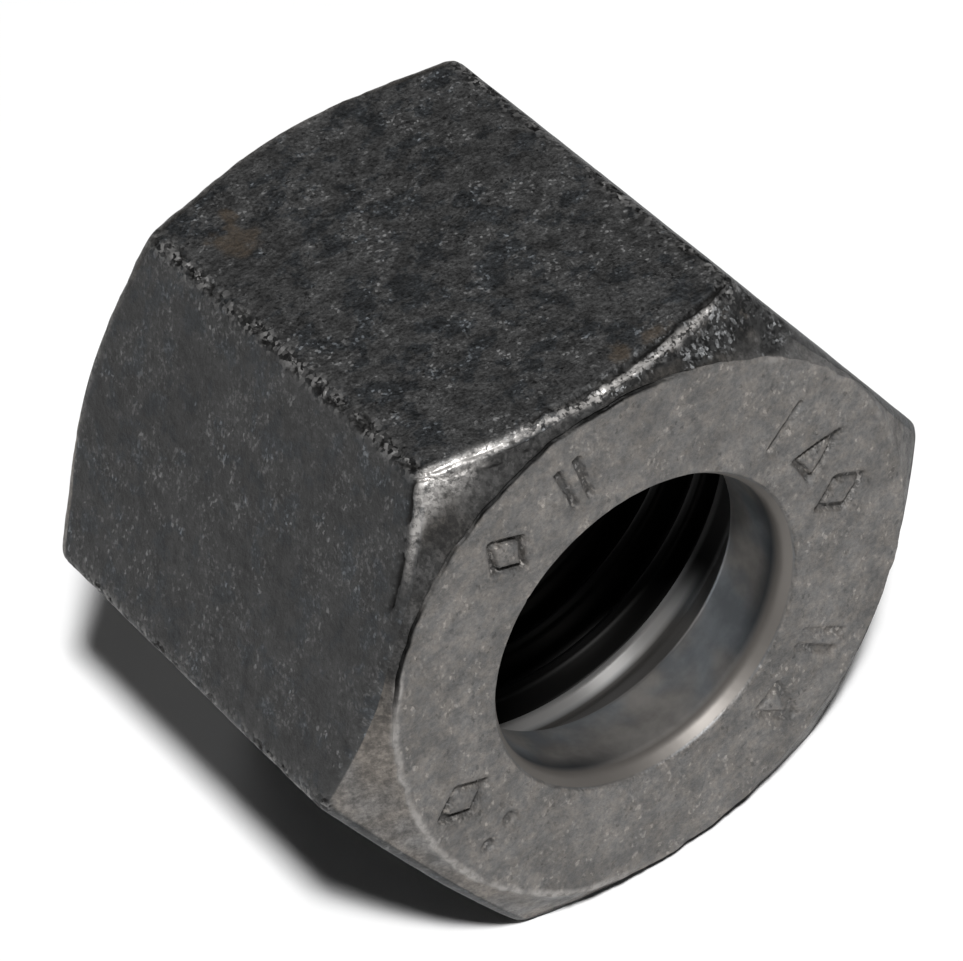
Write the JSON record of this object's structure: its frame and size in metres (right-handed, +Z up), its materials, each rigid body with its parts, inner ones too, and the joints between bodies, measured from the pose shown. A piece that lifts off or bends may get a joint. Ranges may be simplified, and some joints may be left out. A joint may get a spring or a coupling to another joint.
{
  "type": "hex union nut",
  "caption": "Long hexagonal union nut for a metric compression fitting: a smooth tube bore at one end, an internal cone, and a fine internal thread at the other end.",
  "frame": {"origin": "on the thread axis, in the plane of the tube-side end face, which is the face with the ring of stamped marks", "axes": "+Y runs along the thread axis from the tube-side face to the open end of the thread; +Z is up, normal to one wrench flat, with the nut lying on the opposite flat; two corners of the hexagon are on the X axis"},
  "size_m": [0.0218, 0.016, 0.019],
  "materials": {
    "forged_steel": "dark phosphated forged skin, worn to bare grey steel on the end face, edges and bore"
  },
  "bodies": {
    "root": {"union_nut": "forged_steel"}
  },
  "joints": []
}
